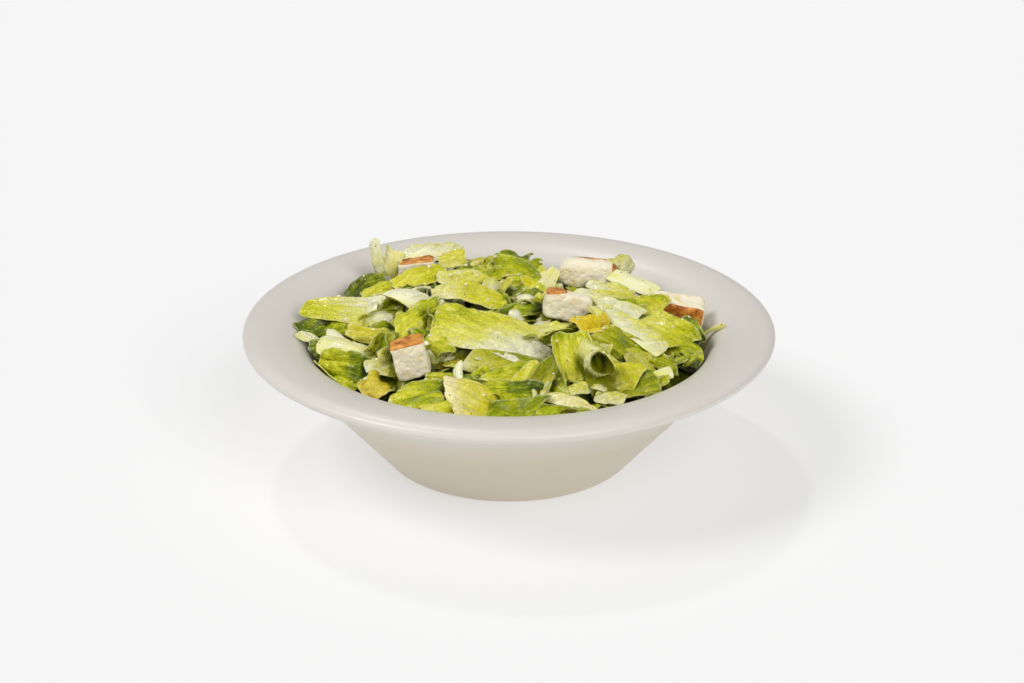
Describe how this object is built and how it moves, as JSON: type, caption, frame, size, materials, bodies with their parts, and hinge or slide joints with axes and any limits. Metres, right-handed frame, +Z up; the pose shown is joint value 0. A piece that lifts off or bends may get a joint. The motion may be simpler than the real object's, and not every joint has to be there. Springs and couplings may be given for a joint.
{
  "type": "caesar salad in a bowl",
  "caption": "Caesar salad of cut romaine lettuce and bread croutons, heaped in a round wide-rimmed stoneware bowl.",
  "frame": {"origin": "centre of the bowl's foot, at the height of the surface that it stands on", "axes": "+Z up along the bowl's turning axis, +X to the right and +Y to the back of the salad as first seen"},
  "size_m": [0.24, 0.24, 0.0816],
  "materials": {
    "cream_glaze": "gloss",
    "romaine": "satin",
    "bread": "matte"
  },
  "bodies": {
    "root": {"bowl": "cream_glaze", "lettuce": "romaine", "crouton_front_left": "bread", "crouton_centre": "bread", "crouton_back_right": "bread", "crouton_right": "bread", "crouton_back_left": "bread"}
  },
  "joints": []
}
